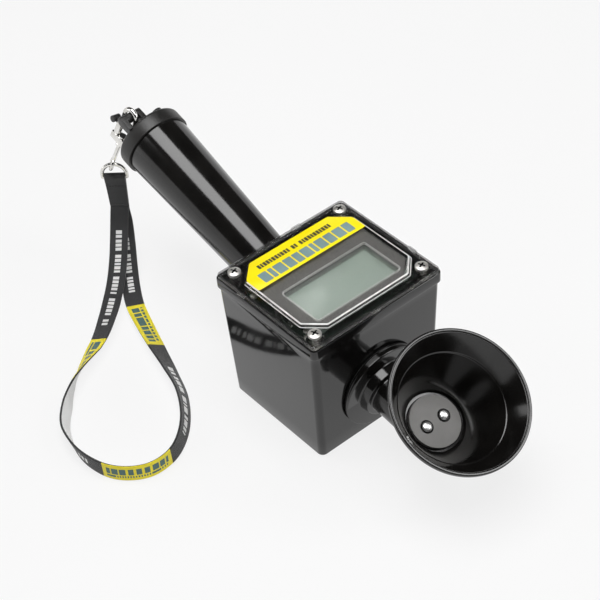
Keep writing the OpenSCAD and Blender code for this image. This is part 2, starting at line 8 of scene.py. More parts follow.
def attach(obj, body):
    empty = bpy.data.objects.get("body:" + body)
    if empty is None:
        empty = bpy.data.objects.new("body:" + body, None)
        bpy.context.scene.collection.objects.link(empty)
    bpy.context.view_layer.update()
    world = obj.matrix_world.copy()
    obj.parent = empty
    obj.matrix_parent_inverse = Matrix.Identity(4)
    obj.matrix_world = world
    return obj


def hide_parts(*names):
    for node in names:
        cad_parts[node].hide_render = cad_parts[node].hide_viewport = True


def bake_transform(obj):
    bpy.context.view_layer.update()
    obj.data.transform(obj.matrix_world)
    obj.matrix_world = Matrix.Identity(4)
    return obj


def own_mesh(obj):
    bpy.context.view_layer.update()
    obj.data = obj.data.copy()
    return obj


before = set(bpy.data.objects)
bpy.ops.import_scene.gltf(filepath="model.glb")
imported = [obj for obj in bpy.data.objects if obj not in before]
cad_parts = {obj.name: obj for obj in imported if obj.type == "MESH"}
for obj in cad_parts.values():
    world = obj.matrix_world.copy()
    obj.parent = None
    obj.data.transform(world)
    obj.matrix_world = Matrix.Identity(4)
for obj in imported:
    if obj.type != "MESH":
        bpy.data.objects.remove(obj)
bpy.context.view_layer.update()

MM = 0.001

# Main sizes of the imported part, in millimetres
COLLAR_X, COLLAR_Y, COLLAR_Z = 77, 85, 72.5
FOOT_X = 70
COVER_TOP = 82.3
SCREWS = [(31, 35), (-31, 35), (-31, -35), (31, -35)]
WINDOW_X, WINDOW_Y, WINDOW_MID = 27.0, 54.0, 10.5
BUTTON_Z = 17
FLANGE_Z, FLANGE_R, FLANGE_T = 28, 24.2, 2.2
HUB_R, HUB_END, NECK_R, NECK_END = 14.8, 7.5, 11.8, 29.4
ELECTRODE_AT, DOME_R, DOME_FOOT = 5.7, 2.65, -33.0
HANDLE_AT, HANDLE_R, HANDLE_END_R, HANDLE_BORE = (-35, 0, 47), 14.5, 18.7, 15
HANDLE_LEN, CAP_SKIRT = 112.6, 9.0
HOOK_R = 4.6
BAR_AT, STRAP_DIR = Vector((-165.8, -16.8, 56)), radians(48)
STRAP_W, STRAP_T, TAB_LEN = 10.5, 1.2, 20.0

# The lean of the housing's front and rear walls
DRAFT = atan((COLLAR_X - 1.6 - FOOT_X) / 2 / COLLAR_Z)
DRAFT_DEG = DRAFT * 180 / pi

# Middle line of the strap, from the tab round the loop and back to the tab
STRAP = [
    (-165, -17.5, 35.8), (-163.2, -20.3, 28), (-158, -25.5, 20.5), (-149.5, -33, 15),
    (-139.3, -42.3, 11.5), (-130.6, -51.3, 9.2), (-122, -61.2, 7.2), (-111, -75.3, 5.8),
    (-98.2, -97, 5.6), (-85, -113, 5.6), (-69, -126.2, 5.6), (-50, -131, 5.6),
    (-32.5, -128.5, 5.6), (-21, -121, 5.6), (-14.5, -109, 5.6), (-16.5, -94, 5.6),
    (-28, -79, 5.6), (-46, -67, 5.6), (-65.5, -60.5, 5.6), (-85, -55, 5.2),
    (-103, -49.5, 4.4), (-120.5, -43.6, 4.2), (-134.3, -36.5, 5), (-147, -28.6, 8.2),
    (-156.6, -22, 15), (-163.2, -17.6, 24.5), (-166, -16.6, 32), (-166.6, -16, 35.8),
]

# How far it is turned about its line, in degrees, at each share of its length
TURNS = [
    (0, 0), (0.2, 0), (0.27, 22), (0.31, 78), (0.34, 106), (0.375, 112), (0.42, 100), (0.46, 92),
    (0.54, 92), (0.6, 112), (0.66, 136), (0.71, 158), (0.77, 174), (0.82, 180), (1, 180),
]


# ---- frames ----

def place(origin, turn):
    """A frame in millimetres, turned about Y only, by turn degrees."""
    return Matrix.Translation(Vector(origin)) @ Matrix.Rotation(radians(turn), 4, "Y")


def wall_x(z):
    """How far the front and rear walls are from the middle at height z."""
    return FOOT_X / 2 + z * tan(DRAFT)


HANDLE = place(HANDLE_AT, -71.75)
CUP = place((95.2, 0, 58.9), 32.85)
NECK = place((wall_x(FLANGE_Z), 0, FLANGE_Z), 98)
FRONT_WALL = place((wall_x(FLANGE_Z), 0, FLANGE_Z), 90 + DRAFT_DEG)
REAR_BUTTON = place((-wall_x(BUTTON_Z), 0, BUTTON_Z), -90 - DRAFT_DEG)
LUG = HANDLE @ Vector((12.5, -8, HANDLE_LEN + CAP_SKIRT + 7))
LEAN = Matrix.Rotation(radians(20.8), 4, "Y") @ Matrix.Rotation(radians(-14), 4, "X")
HOOK = Matrix.Translation(LUG) @ LEAN
RING = Matrix.Translation(BAR_AT) @ Matrix.Rotation(STRAP_DIR, 4, "Z")
WORLD = Matrix.Identity(4)


# ---- mesh helpers: every length in millimetres ----

ON_AXIS = 1e-6


class Build:
    """Collects closed shells, then makes one object of them."""

    def __init__(self):
        self.bm = bmesh.new()

    def shell(self, verts, faces, frame_of=WORLD, material=0):
        made = [self.bm.verts.new((frame_of @ Vector(v)) * MM) for v in verts]
        out = []
        for f in faces:
            face = self.bm.faces.new([made[i] for i in f])
            face.smooth = True
            face.material_index = material
            out.append(face)
        return out

    def loft(self, rings, frame_of=WORLD, loop=False):
        """A skin over rings of equal length, with both ends closed, or joined to each other by loop."""
        n = len(rings[0])
        verts = [p for r in rings for p in r]
        count = len(rings)
        faces = []
        for i in range(count if loop else count - 1):
            a, b = i * n, ((i + 1) % count) * n
            faces += [(a + k, a + (k + 1) % n, b + (k + 1) % n, b + k) for k in range(n)]
        if not loop:
            faces.append(tuple(range(n - 1, -1, -1)))
            faces.append(tuple((count - 1) * n + k for k in range(n)))
        return self.shell(verts, faces, frame_of)

    def lathe(self, profile, frame_of=WORLD, steps=96, material=0):
        """Turns a closed profile of (radius, height) about Z. Points on the axis close the shell."""
        m = len(profile)
        verts, index = [], {}
        for i in range(steps):
            a = 2 * pi * i / steps
            for k, (r, z) in enumerate(profile):
                if r < ON_AXIS and i > 0:
                    index[i, k] = index[0, k]
                    continue
                index[i, k] = len(verts)
                verts.append((r * cos(a), r * sin(a), z))
        faces = []
        for i in range(steps):
            j = (i + 1) % steps
            for k in range(m):
                q = (k + 1) % m
                f = [index[i, k], index[j, k], index[j, q], index[i, q]]
                f = [v for p, v in enumerate(f) if v not in f[:p]]
                if len(f) > 2:
                    faces.append(tuple(f))
        return self.shell(verts, faces, frame_of, material)

    def tube(self, points, radius, frame_of, sides):
        """A round rod along points."""
        pts = [Vector(p) for p in points]
        turns = [2 * pi * k / sides for k in range(sides)]
        side = None
        rings = []
        for i, p in enumerate(pts):
            d = (pts[min(i + 1, len(pts) - 1)] - pts[max(i - 1, 0)]).normalized()
            if side is None:
                side = d.orthogonal().normalized()
            side = (side - d * side.dot(d)).normalized()
            up = d.cross(side)
            rings.append([p + radius * (cos(a) * side + sin(a) * up) for a in turns])
        return self.loft(rings, frame_of)

    def object(self, name, angle=35):
        """Makes the object. Edges that turn by more than angle degrees stay sharp."""
        bmesh.ops.remove_doubles(self.bm, verts=self.bm.verts, dist=1e-7)
        bmesh.ops.recalc_face_normals(self.bm, faces=self.bm.faces)
        mesh = bpy.data.meshes.new(name)
        self.bm.to_mesh(mesh)
        self.bm.free()
        made = bpy.data.objects.new(name, mesh)
        bpy.context.collection.objects.link(made)
        mark_sharp(made, angle)
        return made


def mark_sharp(obj, angle):
    mesh = obj.data
    mesh.shade_smooth()
    bm = bmesh.new()
    bm.from_mesh(mesh)
    for e in bm.edges:
        e.smooth = len(e.link_faces) != 2 or e.calc_face_angle(0) < radians(angle)
    bm.to_mesh(mesh)
    bm.free()


def soften_edges(obj, width):
    """Rounds the edges sharper than 30 degrees by width, and keeps the result in the mesh."""
    mod = obj.modifiers.new("soft", "BEVEL")
    mod.width = width * MM
    mod.segments = 3
    mod.limit_method = "ANGLE"
    mod.angle_limit = radians(30)
    mod.use_clamp_overlap = True
    graph = bpy.context.evaluated_depsgraph_get()
    mesh = bpy.data.meshes.new_from_object(obj.evaluated_get(graph))
    old = obj.data
    obj.modifiers.clear()
    obj.data = mesh
    bpy.data.meshes.remove(old)


def softened_copy(node, name, width):
    """A copy of a CAD node with its faces merged and its edges rounded."""
    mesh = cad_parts[node].data.copy()
    made = bpy.data.objects.new(name, mesh)
    bpy.context.collection.objects.link(made)
    mesh.materials.clear()
    bm = bmesh.new()
    bm.from_mesh(mesh)
    bmesh.ops.remove_doubles(bm, verts=bm.verts, dist=2e-6)
    bmesh.ops.dissolve_limit(bm, angle_limit=radians(1.5), verts=bm.verts, edges=bm.edges)
    bm.to_mesh(mesh)
    bm.free()
    soften_edges(made, width)
    mark_sharp(made, 40)
    return made


def rounded_loop(x, y, r, z, steps=16, cx=0.0, cy=0.0):
    """A rectangle of full size x by y with round corners, counterclockwise from the +X +Y corner."""
    out = []
    for qx, qy, start in ((1, 1, 0), (-1, 1, 90), (-1, -1, 180), (1, -1, 270)):
        for k in range(steps):
            a = radians(start + 90 * k / (steps - 1))
            out.append((cx + qx * (x / 2 - r) + r * cos(a), cy + qy * (y / 2 - r) + r * sin(a), z))
    return out


def bend(a, b, c, r, steps):
    """The corner at b, between its neighbours a and c, as a curve of steps + 1 points, r to each side."""
    start, stop = b + (a - b).normalized() * r, b + (c - b).normalized() * r
    shares = [k / steps for k in range(steps + 1)]
    return [start * (1 - t) ** 2 + b * 2 * t * (1 - t) + stop * t ** 2 for t in shares]


def corners(points):
    """Each point of a closed outline between its two neighbours."""
    pts = [Vector(p) for p in points]
    return list(zip(pts[-1:] + pts[:-1], pts, pts[1:] + pts[:1]))


def cut_loop(x, cut, z):
    """The cover's plateau: half sizes x and x + 5, with the corners cut off and the eight turns eased."""
    y = x + 5
    pts = [(x, y - cut), (x - cut, y), (-x + cut, y), (-x, y - cut),
           (-x, -y + cut), (-x + cut, -y), (x - cut, -y), (x, -y + cut)]
    return [(q.x, q.y, z) for a, b, c in corners(pts) for q in bend(a, b, c, 0.8, 7)]


def eased(profile, radius, steps):
    """Rounds the corners of a closed (radius, height) profile, except those on the axis."""
    out = []
    for a, b, c in corners(profile):
        if b.x < ON_AXIS:
            out.append(tuple(b))
            continue
        r = min(radius, (a - b).length * 0.45, (c - b).length * 0.45)
        out += [tuple(q) for q in bend(a, b, c, r, steps)]
    return out


def curve_points(points, steps):
    """A smooth curve through points, with steps parts between each two of them."""
    pts = [Vector(p) for p in points]
    out = []
    for i in range(len(pts) - 1):
        a, b, c, d = pts[max(i - 1, 0)], pts[i], pts[i + 1], pts[min(i + 2, len(pts) - 1)]
        for s in range(steps):
            u = s / steps
            out.append(0.5 * (2 * b + (c - a) * u + (2 * a - 5 * b + 4 * c - d) * u * u
                              + (3 * b - a - 3 * c + d) * u ** 3))
    out.append(pts[-1])
    return out


# ---- materials ----

def new_material(name, color, rough=0.5, metal=0.0, **sockets):
    mat = bpy.data.materials.new(name)
    mat.use_nodes = True
    shader = mat.node_tree.nodes["Principled BSDF"]
    shader.inputs["Base Color"].default_value = (*color, 1)
    shader.inputs["Roughness"].default_value = rough
    shader.inputs["Metallic"].default_value = metal
    for key, value in sockets.items():
        shader.inputs[key.replace("_", " ")].default_value = value
    return mat, mat.node_tree, shader


def link(tree, a, b):
    tree.links.new(a, b)


def noise(tree, scale, detail=4.0, rough=0.55, vector=None):
    node = tree.nodes.new("ShaderNodeTexNoise")
    node.inputs["Scale"].default_value = scale
    node.inputs["Detail"].default_value = detail
    node.inputs["Roughness"].default_value = rough
    if vector is None:
        vector = tree.nodes.new("ShaderNodeTexCoord").outputs["Object"]
    link(tree, vector, node.inputs["Vector"])
    return node.outputs["Fac"]


def ramp(tree, fac, low, high, start=0.3, stop=0.7):
    """A value that runs from low to high as fac runs from start to stop."""
    node = tree.nodes.new("ShaderNodeMapRange")
    node.inputs["From Min"].default_value = start
    node.inputs["From Max"].default_value = stop
    node.inputs["To Min"].default_value = low
    node.inputs["To Max"].default_value = high
    link(tree, fac, node.inputs["Value"])
    return node.outputs["Result"]


def tint(tree, fac, dark, light, start=0.3, stop=0.7):
    node = tree.nodes.new("ShaderNodeValToRGB")
    node.color_ramp.elements[0].position = start
    node.color_ramp.elements[1].position = stop
    node.color_ramp.elements[0].color = (*dark, 1)
    node.color_ramp.elements[1].color = (*light, 1)
    link(tree, fac, node.inputs["Fac"])
    return node.outputs["Color"]


def bump(tree, shader, height, distance, strength=1.0):
    node = tree.nodes.new("ShaderNodeBump")
    node.inputs["Distance"].default_value = distance
    node.inputs["Strength"].default_value = strength
    link(tree, height, node.inputs["Height"])
    link(tree, node.outputs["Normal"], shader.inputs["Normal"])


def plastic(name, dark, light, rough, spread, grain, depth, drift=60, **sockets):
    """Moulded plastic or rubber: a little colour drift, uneven gloss and a fine surface grain."""
    mat, tree, shader = new_material(name, dark, rough, **sockets)
    link(tree, tint(tree, noise(tree, drift, 3), dark, light), shader.inputs["Base Color"])
    gloss = ramp(tree, noise(tree, 35, 5, 0.65), rough - spread, rough + spread)
    link(tree, gloss, shader.inputs["Roughness"])
    bump(tree, shader, noise(tree, grain, 3), depth)
    return mat


def metal(name, dark, light, rough, spread, stretch=(1, 1, 12)):
    """Plated or drawn metal: fine lines along one direction and faint handling marks."""
    mat, tree, shader = new_material(name, light, rough, 1.0)
    mapping = tree.nodes.new("ShaderNodeMapping")
    mapping.inputs["Scale"].default_value = stretch
    link(tree, tree.nodes.new("ShaderNodeTexCoord").outputs["Object"], mapping.inputs["Vector"])
    lines = noise(tree, 900, 4, 0.6, mapping.outputs["Vector"])
    link(tree, tint(tree, noise(tree, 160, 4), dark, light), shader.inputs["Base Color"])
    link(tree, ramp(tree, lines, rough - spread, rough + spread), shader.inputs["Roughness"])
    bump(tree, shader, lines, 0.00001)
    return mat


BLACK_GLOSS = plastic("black_gloss", (0.003, 0.003, 0.003), (0.006, 0.0057, 0.0055),
                      0.075, 0.025, 260, 0.000012, IOR=1.56)
BLACK_SATIN = plastic("black_satin", (0.003, 0.0028, 0.0026), (0.0065, 0.006, 0.0055),
                      0.14, 0.03, 260, 0.000012, IOR=1.56)
RUBBER = plastic("cap_rubber", (0.009, 0.0085, 0.008), (0.019, 0.018, 0.017), 0.38, 0.08, 2200, 0.00004)
# Near-black with little gloss: the real colour of the electrode seals, and also painted shade inside the
# screw heads' cross recesses.
SEAL_AND_RECESS_SHADE = plastic("seal_and_recess_shade_black", (0.002, 0.002, 0.002), (0.005, 0.005, 0.005),
                     0.8, 0.08, 1500, 0.00003, Specular_IOR_Level=0.1)
GASKET = plastic("gasket_rubber", (0.012, 0.012, 0.012), (0.022, 0.022, 0.022), 0.7, 0.08, 1500, 0.00003)
BEZEL = plastic("bezel_grey", (0.085, 0.082, 0.079), (0.19, 0.184, 0.176),
                0.5, 0.08, 2600, 0.00003, drift=1300)
# Light grey for the thin frame round the display window: painted highlight on the bezel opening's
# chamfer.
WINDOW_EDGE_HIGHLIGHT = plastic("window_edge_painted_highlight", (0.55, 0.55, 0.54), (0.7, 0.7, 0.68), 0.4, 0.05, 900, 0.00001)
LABEL = plastic("label_yellow", (0.86, 0.69, 0.0), (0.93, 0.77, 0.004), 0.34, 0.05, 1400, 0.00001)
PRINT_GREY = plastic("print_grey_blue", (0.14, 0.22, 0.24), (0.2, 0.3, 0.31), 0.4, 0.05, 1400, 0.00001)
PRINT_DARK = plastic("print_dark", (0.03, 0.03, 0.02), (0.06, 0.06, 0.04), 0.4, 0.05, 1400, 0.00001)
ELECTRODE_GREY = plastic("electrode_grey", (0.14, 0.137, 0.132), (0.18, 0.176, 0.17),
                         0.5, 0.06, 900, 0.00003)
SATIN_BLACK = plastic("satin_black", (0.01, 0.01, 0.01), (0.02, 0.02, 0.02), 0.3, 0.06, 900, 0.00003)
BUTTON_RED = plastic("button_red", (0.36, 0.012, 0.01), (0.5, 0.03, 0.022), 0.22, 0.05, 700, 0.00002)
BOARD = plastic("board_green", (0.003, 0.012, 0.006), (0.006, 0.022, 0.01), 0.3, 0.06, 500, 0.00003)
CHIP = plastic("chip_black", (0.01, 0.01, 0.01), (0.03, 0.03, 0.03), 0.6, 0.08, 2500, 0.00003)
NYLON = plastic("nylon_white", (0.62, 0.58, 0.48), (0.76, 0.73, 0.64), 0.45, 0.06, 600, 0.00003)
WIRE_RED = plastic("wire_red", (0.4, 0.015, 0.01), (0.55, 0.03, 0.02), 0.4, 0.06, 900, 0.00003)
WIRE_BLUE = plastic("wire_blue", (0.02, 0.05, 0.35), (0.04, 0.09, 0.5), 0.4, 0.06, 900, 0.00003)
FOAM = plastic("foam_grey", (0.05, 0.05, 0.055), (0.12, 0.12, 0.13), 0.9, 0.05, 1800, 0.0003)
CELL = plastic("cell_wrap", (0.015, 0.05, 0.2), (0.03, 0.08, 0.3),
               0.28, 0.06, 400, 0.00002, Metallic=0.4)
NICKEL = metal("nickel", (0.62, 0.6, 0.56), (0.88, 0.86, 0.82), 0.4, 0.07)
CHROME = metal("chrome", (0.62, 0.61, 0.58), (0.84, 0.83, 0.81), 0.12, 0.05)
POLISHED = metal("polished_steel", (0.85, 0.85, 0.84), (0.97, 0.97, 0.96), 0.36, 0.05, (1, 1, 1))
SPRING_STEEL = metal("spring_steel", (0.4, 0.4, 0.4), (0.62, 0.62, 0.62), 0.3, 0.08)
TIN = metal("tin_plate", (0.5, 0.5, 0.48), (0.72, 0.72, 0.7), 0.35, 0.08)


def clear_plastic():
    """The cover: half see-through, half refracting, with a film of handling marks in its gloss."""
    mat, tree, shader = new_material("clear_plastic", (0.9, 0.9, 0.89), 0.04, IOR=1.5,
                                     Transmission_Weight=1.0, Alpha=0.42)
    link(tree, ramp(tree, noise(tree, 45, 6, 0.7), 0.02, 0.09, 0.4, 0.75), shader.inputs["Roughness"])
    bump(tree, shader, noise(tree, 90, 2), 0.000015)
    return mat


def liquid_crystal():
    """Grey-green reflective display: a very fine pixel grid under glass, slightly uneven in tone."""
    mat, tree, shader = new_material("display_glass", (0.3, 0.36, 0.32), 0.16,
                                     Coat_Weight=0.2, Coat_Roughness=0.1)
    coords = tree.nodes.new("ShaderNodeTexCoord").outputs["Object"]
    grid = tree.nodes.new("ShaderNodeTexBrick")
    grid.offset = 0.0
    grid.inputs["Scale"].default_value = 1400
    grid.inputs["Mortar Size"].default_value = 0.012
    grid.inputs["Brick Width"].default_value = 1.0
    grid.inputs["Row Height"].default_value = 1.0
    grid.inputs["Color1"].default_value = (0.455, 0.53, 0.475, 1)
    grid.inputs["Color2"].default_value = (0.445, 0.52, 0.465, 1)
    grid.inputs["Mortar"].default_value = (0.49, 0.565, 0.51, 1)
    link(tree, coords, grid.inputs["Vector"])
    mix = tree.nodes.new("ShaderNodeMix")
    mix.data_type = "RGBA"
    mix.blend_type = "MULTIPLY"
    mix.inputs["Factor"].default_value = 1.0
    link(tree, grid.outputs["Color"], mix.inputs["A"])
    link(tree, tint(tree, noise(tree, 30, 2), (0.9, 0.92, 0.9), (1.0, 1.0, 1.0)), mix.inputs["B"])
    link(tree, mix.outputs["Result"], shader.inputs["Base Color"])
    link(tree, ramp(tree, noise(tree, 70, 3), 0.12, 0.2), shader.inputs["Roughness"])
    bump(tree, shader, noise(tree, 1500, 2), 0.000004)
    return mat


def ribbon(name, dark, light, sheen=0.25, rough=0.75):
    """Woven ribbon: ribs across and threads along, from the strip's own UV in millimetres."""
    mat, tree, shader = new_material(name, dark, rough, Sheen_Weight=sheen, Sheen_Roughness=0.45)
    uv = tree.nodes.new("ShaderNodeUVMap")
    uv.uv_map = "strip"
    wave = tree.nodes.new("ShaderNodeTexWave")
    wave.bands_direction = "X"
    wave.inputs["Scale"].default_value = 0.62
    wave.inputs["Distortion"].default_value = 0.6
    wave.inputs["Detail"].default_value = 1.5
    link(tree, uv.outputs["UV"], wave.inputs["Vector"])
    warp = tree.nodes.new("ShaderNodeTexWave")
    warp.bands_direction = "Y"
    warp.inputs["Scale"].default_value = 0.9
    warp.inputs["Distortion"].default_value = 0.5
    link(tree, uv.outputs["UV"], warp.inputs["Vector"])
    weave = tree.nodes.new("ShaderNodeMath")
    weave.operation = "MULTIPLY_ADD"
    link(tree, wave.outputs["Fac"], weave.inputs[0])
    weave.inputs[1].default_value = 0.7
    link(tree, warp.outputs["Fac"], weave.inputs[2])
    link(tree, tint(tree, weave.outputs["Value"], dark, light, 0.1, 1.5), shader.inputs["Base Color"])
    link(tree, ramp(tree, noise(tree, 80, 4), rough - 0.08, rough + 0.08), shader.inputs["Roughness"])
    bump(tree, shader, weave.outputs["Value"], 0.00008, 0.8)
    return mat


CLEAR = clear_plastic()
# Whitish, more opaque clear plastic for the plateau's bevel faces: painted highlight for the bright lines
# that light makes along the clear edges.
CLEAR_EDGE_PAINTED_HIGHLIGHT = plastic("clear_edge_painted_highlight", (0.55, 0.55, 0.54), (0.9, 0.9, 0.89),
                     0.22, 0.05, 700, 0.00002, drift=240, IOR=1.5, Alpha=0.85)
DISPLAY = liquid_crystal()
RIBBON_BLACK = ribbon("ribbon_black", (0.008, 0.008, 0.009), (0.024, 0.024, 0.025))
RIBBON_WHITE = ribbon("ribbon_white", (0.55, 0.55, 0.54), (0.78, 0.78, 0.77))
RIBBON_YELLOW = ribbon("ribbon_yellow", (0.62, 0.5, 0.004), (0.86, 0.74, 0.02))
RIBBON_TEAL = ribbon("ribbon_teal", (0.03, 0.09, 0.085), (0.07, 0.15, 0.14))
THREAD = ribbon("thread_black", (0.012, 0.012, 0.012), (0.04, 0.04, 0.04), 0.4, 0.6)


def dress(obj, *materials):
    """Gives obj these materials. clear() also resets each face's choice, so it runs only when needed."""
    if len(obj.data.materials):
        obj.data.materials.clear()
    for m in materials:
        obj.data.materials.append(m)


def finish_piece(obj, body, nodes=(), materials=()):
    """Gives a piece its materials, the CAD nodes that it stands for and its body."""
    if materials:
        dress(obj, *materials)
    if nodes:
        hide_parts(*nodes)
    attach(obj, body)


# ---- camera, light and floor ----

def camera():
    """The solved camera: azimuth, elevation and roll, then its place along its own three axes."""
    az, el, roll = radians(53.15), radians(42.57), radians(-4.92)
    right = Vector((cos(az), sin(az), 0))
    back = Vector((sin(az) * cos(el), -cos(az) * cos(el), sin(el)))
    up = back.cross(right)
    right2 = right * cos(roll) + up * sin(roll)
    up2 = up * cos(roll) - right * sin(roll)
    at = (right2 * -18.92 + up2 * 44.61 + back * 892.3) * MM
    data = bpy.data.cameras.new("camera")
    data.sensor_width = 36
    data.lens = 100.72
    cam = bpy.data.objects.new("camera", data)
    turn = Matrix((right2, up2, back)).transposed().to_4x4()
    cam.matrix_world = Matrix.Translation(at) @ turn
    bpy.context.collection.objects.link(cam)
    bpy.context.scene.camera = cam


def area_light(name, at, aim, width, height, power):
    data = bpy.data.lights.new(name, "AREA")
    data.shape = "RECTANGLE"
    data.size = width
    data.size_y = height
    data.energy = power
    lamp = bpy.data.objects.new(name, data)
    bpy.context.collection.objects.link(lamp)
    turn = (Vector(aim) - Vector(at)).to_track_quat("-Z", "Y").to_matrix().to_4x4()
    lamp.matrix_world = Matrix.Translation(Vector(at)) @ turn


def stage_mesh(name, bm, mat):
    mesh = bpy.data.meshes.new(name)
    bm.to_mesh(mesh)
    bm.free()
    mesh.materials.append(mat)
    made = bpy.data.objects.new(name, mesh)
    bpy.context.collection.objects.link(made)
    return made


def studio():
    """A bright plain floor, a low round backdrop far behind it, and three soft lights. In metres."""
    world = bpy.data.worlds.new("studio")
    bpy.context.scene.world = world
    world.use_nodes = True
    back = world.node_tree.nodes["Background"]
    back.inputs["Color"].default_value = (1.0, 1.0, 1.0, 1)
    back.inputs["Strength"].default_value = 0.03
    area_light("overhead", (0.05, -0.1, 1.3), (0.05, -0.1, 0), 1.3, 0.75, 18)
    area_light("left_strip", (-0.9, -0.85, 0.62), (-0.05, 0, 0.05), 0.3, 1.2, 2.2)
    area_light("right_soft", (0.85, 0.75, 0.75), (0, 0, 0.05), 0.4, 0.9, 7)
    mat, tree, shader = new_material("floor", (0.11, 0.11, 0.11), 0.9,
                                     Emission_Color=(1, 1, 1, 1), Emission_Strength=0.8)
    tone = tint(tree, noise(tree, 3, 3), (0.105, 0.105, 0.105), (0.115, 0.115, 0.115))
    link(tree, tone, shader.inputs["Base Color"])
    bump(tree, shader, noise(tree, 900, 2), 0.00001)
    bm = bmesh.new()
    bmesh.ops.create_grid(bm, x_segments=24, y_segments=24, size=14.0)
    floor = stage_mesh("floor", bm, mat)
    radius, height = 9.0, 2.6
    bm = bmesh.new()
    bmesh.ops.create_cone(bm, cap_ends=False, segments=96, radius1=radius, radius2=radius, depth=height)
    backdrop = stage_mesh("backdrop", bm, mat)
    backdrop.location = (0, 0, height / 2)
    view = bpy.context.scene.view_settings
    view.view_transform = "Standard"
    view.look = "None"
    view.exposure = 0.0


camera()
studio()


# ---- housing and cover ----

def housing_shell():
    """The drafted box with its collar, gasket groove and inside, then the posts for the screws."""
    b = Build()

    def side(z):
        t = (z - 1.2) / 71.3
        return 70.1 + 5.3 * t, 79.1 + 4.3 * t

    rings = [rounded_loop(68.4, 77.4, 2.7, 0), rounded_loop(69.2, 78.2, 3.1, 0.15),
             rounded_loop(69.8, 78.8, 3.4, 0.6)]
    for z in (1.2, 10, 20, 30, 40, 50, 60, 68, 71.9):
        rings.append(rounded_loop(*side(z), 3.5, z))
    x, y = side(72.3)
    rings += [rounded_loop(x + 0.1, y + 0.1, 3.5, 72.2), rounded_loop(x + 0.4, y + 0.4, 3.5, 72.45)]
    for dx, z in ((1.1, 72.5), (0.5, 72.56), (0.15, 72.75), (0, 73.1), (0, 75), (0, 78.0), (0.12, 78.3),
                  (0.5, 78.5), (2.2, 78.5), (2.2, 77.5), (5, 77.5), (5, 78.5), (6.3, 78.5), (6.6, 78.3)):
        rings.append(rounded_loop(COLLAR_X - dx, COLLAR_Y - dx, max(3 - dx / 2, 1.0), z))
    rings.append(rounded_loop(65, 74, 2, 2.5))
    b.loft(rings)
    for x, y in SCREWS:
        b.lathe([(1.5, 78.45), (4.4, 78.45), (4.5, 78.3), (4.5, 52), (1.5, 52)],
                Matrix.Translation((x, y, 0)), 32)
    for x in (-21, 21):
        for y in (-31.5, 31.5):
            b.lathe([(1.1, 67.9), (3.2, 67.9), (3.2, 2.4), (1.1, 2.4)], Matrix.Translation((x, y, 0)), 24)
    shell = b.object("housing_shell", angle=38)
    finish_piece(shell, "housing", ["housing"], [BLACK_GLOSS])


def window_cover():
    """A hollow plate with a raised plateau. Its rings run from the inside over the edge to the top."""
    b = Build()

    def edge(dx, z):
        return rounded_loop(COLLAR_X - 1.4 - dx, COLLAR_Y - 1.4 - dx, 2.4, z)

    rings = [cut_loop(x, 8.9, z) for x, z in ((29.4, 80.4), (29.4, 78.8), (29.6, 78.52))]
    rings += [edge(dx, z) for dx, z in (
        (0.5, 78.52), (0.1, 78.65), (0, 78.9), (0, 80.25), (0.15, 80.55), (0.6, 80.7), (3.4, 80.7))]
    rings += [cut_loop(x, cut, z) for x, cut, z in (
        (31.7, 9.7, 80.7), (31.3, 9.55, 80.78), (31.1, 9.5, 81.1), (30.85, 9.4, 82.0), (30.6, 9.3, 82.22),
        (30.1, 9.1, COVER_TOP))]
    faces = b.loft(rings)
    per_ring = len(rings[0])
    # The faces of these three rings, away from the label, take the whitish edge material: painted
    # highlight along the plateau's foot, shoulder and top edge.
    foot, shoulder, top_edge = 10, 13, 14
    label_end = -10.5 * MM
    for step in (foot, shoulder, top_edge):
        for face in faces[step * per_ring:(step + 1) * per_ring]:
            if face.calc_center_median().x > label_end:
                face.material_index = 1
    for x, y, turn in ((-37.8, 10.8, 0), (17.1, 41.8, 90), (37.8, -2, 0), (-17.1, -41.8, 90)):
        t = Matrix.Translation((x, y, 0)) @ Matrix.Rotation(radians(turn), 4, "Z")
        lug = [rounded_loop(w, h, 0.4, z, 4) for w, h, z in
               ((1.0, 5.6, 78.55), (1.4, 6.0, 78.8), (1.4, 6.0, 80.4), (1.0, 5.6, 80.68))]
        b.loft(lug, t)
    cover = b.object("window_cover", angle=30)
    finish_piece(cover, "housing", ["clear_cover"], [CLEAR, CLEAR_EDGE_PAINTED_HIGHLIGHT])


def label_film():
    """The film on the plateau, and plain blocks and dashes in the place of its two rows of words."""
    b = Build()
    pts = [(-30.2, -26), (-21, -35.2), (-11, -35.2), (-11, 35.2), (-21, 35.2), (-30.2, 26)]
    outline = [q for a, c, d in corners(pts) for q in bend(a, c, d, 1.1, 5)]
    middle = Vector((-20.6, 0))
    rings = []
    for inset, z in ((0, 82.31), (0, 82.44), (0.06, 82.5)):
        eased_in = [middle + (q - middle) * (1 - inset / 10) for q in outline]
        rings.append([(q.x, q.y, z) for q in eased_in])
    b.loft(rings)
    finish_piece(b.object("label_film", angle=30), "housing", ["label"], [LABEL])
    big, small = Build(), Build()
    y = -29.0
    for w in (5.2, 2.6, 5.6, 5.2, 4.2, 5.6, 2.4, 5.4, 5.0, 5.6, 4.6):
        big.loft([rounded_loop(h, w - g, 0.5, z, 4, -16.6, y + w / 2)
                  for h, g, z in ((7.4, 0, 82.5), (7.4, 0, 82.53), (7.3, 0.1, 82.545))])
        y += w + 0.8
    y = -25.0
    for letters in (11, 2, 11):
        for k in range(letters):
            w = (1.5, 1.2, 1.6)[k % 3]
            small.loft([rounded_loop(3.0, w, 0.2, z, 3, -24.4, y + w / 2) for z in (82.5, 82.53)])
            y += w + 0.45
        y += 1.6
    finish_piece(big.object("label_blocks"), "housing", (), [PRINT_GREY])
    finish_piece(small.object("label_dashes"), "housing", (), [PRINT_DARK])


